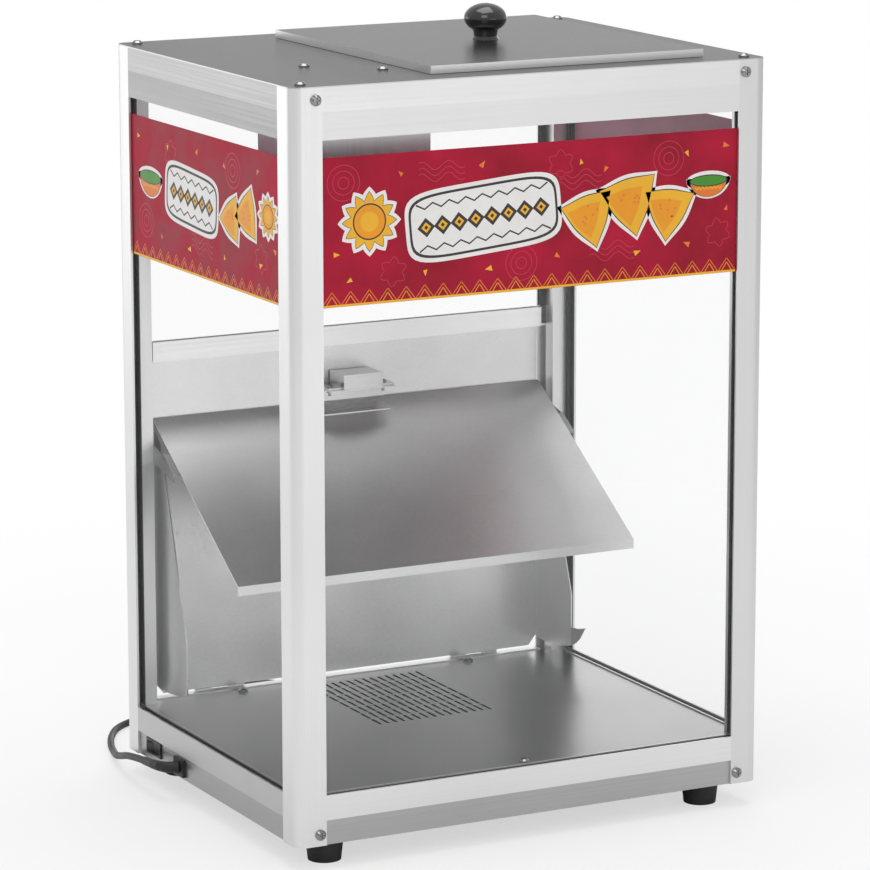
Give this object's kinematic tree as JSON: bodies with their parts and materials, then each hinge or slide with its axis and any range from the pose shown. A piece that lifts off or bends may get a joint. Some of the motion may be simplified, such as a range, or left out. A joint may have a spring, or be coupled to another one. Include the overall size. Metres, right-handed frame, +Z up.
{
  "type": "nacho chip warming cabinet",
  "caption": "Countertop heated chip display cabinet: aluminium frame, glass sides, lift-off loading lid, sloping deflector and tilt-out rear door.",
  "frame": {"origin": "centre of the cabinet's bounding rectangle, lead left out, on the surface that the rubber feet stand on", "axes": "+Z up, -Y towards the viewer of the glass front, +X to the viewer's right; the door and its knob are at +Y"},
  "size_m": [0.4773, 0.5188, 0.7113],
  "materials": {
    "anodised": "satin anodised extrusion",
    "stainless": "brushed stainless sheet",
    "bright_sheet": "bright folded sheet",
    "galvanised": "plain sheet base pan",
    "screw_steel": "bright plated screws",
    "clear_glass": "clear sheet glass",
    "gasket_rubber": "black glazing strip",
    "banner_print": "printed film",
    "black_phenolic": "glossy black",
    "foot_rubber": "matt black rubber",
    "catch_plastic": "light grey plastic",
    "magnet_ferrite": "dull dark magnet",
    "ceramic": "glazed ceramic",
    "bulb_glass": "frosted glass",
    "fan_metal": "black painted metal",
    "fan_plastic": "black plastic",
    "heater_sheath": "oxidised tube",
    "switch_plastic": "black plastic",
    "cord_pvc": "black flexible sheath"
  },
  "bodies": {
    "cabinet": {"post_front_left": "anodised", "post_front_right": "anodised", "post_rear_left": "anodised", "post_rear_right": "anodised", "top_rail_front": "anodised", "top_rail_rear": "anodised", "top_rails_side": "anodised", "glazing_rail_front": "anodised", "glazing_rail_rear": "anodised", "glazing_rails_side": "anodised", "base_rail_front": "anodised", "base_rail_rear": "anodised", "base_rails_side": "anodised", "mid_rail_rear": "anodised", "base_pan": "galvanised", "floor_plate": "stainless", "top_plate": "stainless", "glass_front": "clear_glass", "glass_left": "clear_glass", "glass_right": "clear_glass", "glass_rear": "clear_glass", "gaskets": "gasket_rubber", "banner_front": "banner_print", "banner_left": "banner_print", "banner_right": "banner_print", "deflector_plate": "stainless", "deflector_brackets": "bright_sheet", "catch_bracket": "bright_sheet", "catch_body": "catch_plastic", "catch_magnet": "magnet_ferrite", "catch_fasteners": "screw_steel", "hinge_fixed_leaves": "bright_sheet", "hinge_pins": "bright_sheet", "lamp_shade": "stainless", "lamp_holder": "ceramic", "lamp_bulb": "bulb_glass", "fan_housing": "fan_metal", "heater_element": "heater_sheath", "heater_brackets": "bright_sheet", "thermal_cutout": "switch_plastic", "terminal_block": "ceramic", "switch_housing": "switch_plastic", "feet": "foot_rubber", "base_screws": "screw_steel", "frame_screws": "screw_steel", "cable_gland": "cord_pvc", "cord_lead": "cord_pvc", "cord_coil": "cord_pvc", "cord_tail": "cord_pvc", "mains_plug": "cord_pvc"},
    "lid_body": {"lid": "stainless", "lid_knob": "black_phenolic", "lid_knob_screw": "screw_steel"},
    "door_body": {"rear_door": "bright_sheet", "strike_plate": "bright_sheet", "door_knob": "black_phenolic", "door_knob_screw": "screw_steel", "hinge_door_leaves": "bright_sheet"},
    "rocker_body": {"switch_rocker": "switch_plastic"},
    "fan_body": {"fan_impeller": "fan_plastic"}
  },
  "joints": [
    {"name": "lid_lift", "type": "slide", "parent": "cabinet", "child": "lid_body", "axis": [0, 0, 1], "range_m": [0, 0.25]},
    {"name": "door_tilt", "type": "hinge", "parent": "cabinet", "child": "door_body", "pos_m": [0, 0.1707, 0.0695], "axis": [-1, 0, 0], "range_deg": [0, 45]},
    {"name": "rocker_tilt", "type": "hinge", "parent": "cabinet", "child": "rocker_body", "pos_m": [-0.2225, 0.108, 0.0355], "axis": [0, 0, -1], "range_deg": [0, 20]},
    {"name": "fan_spin", "type": "hinge", "parent": "cabinet", "child": "fan_body", "pos_m": [0, 0.064, 0.038], "axis": [0, 0, 1], "continuous": true}
  ]
}
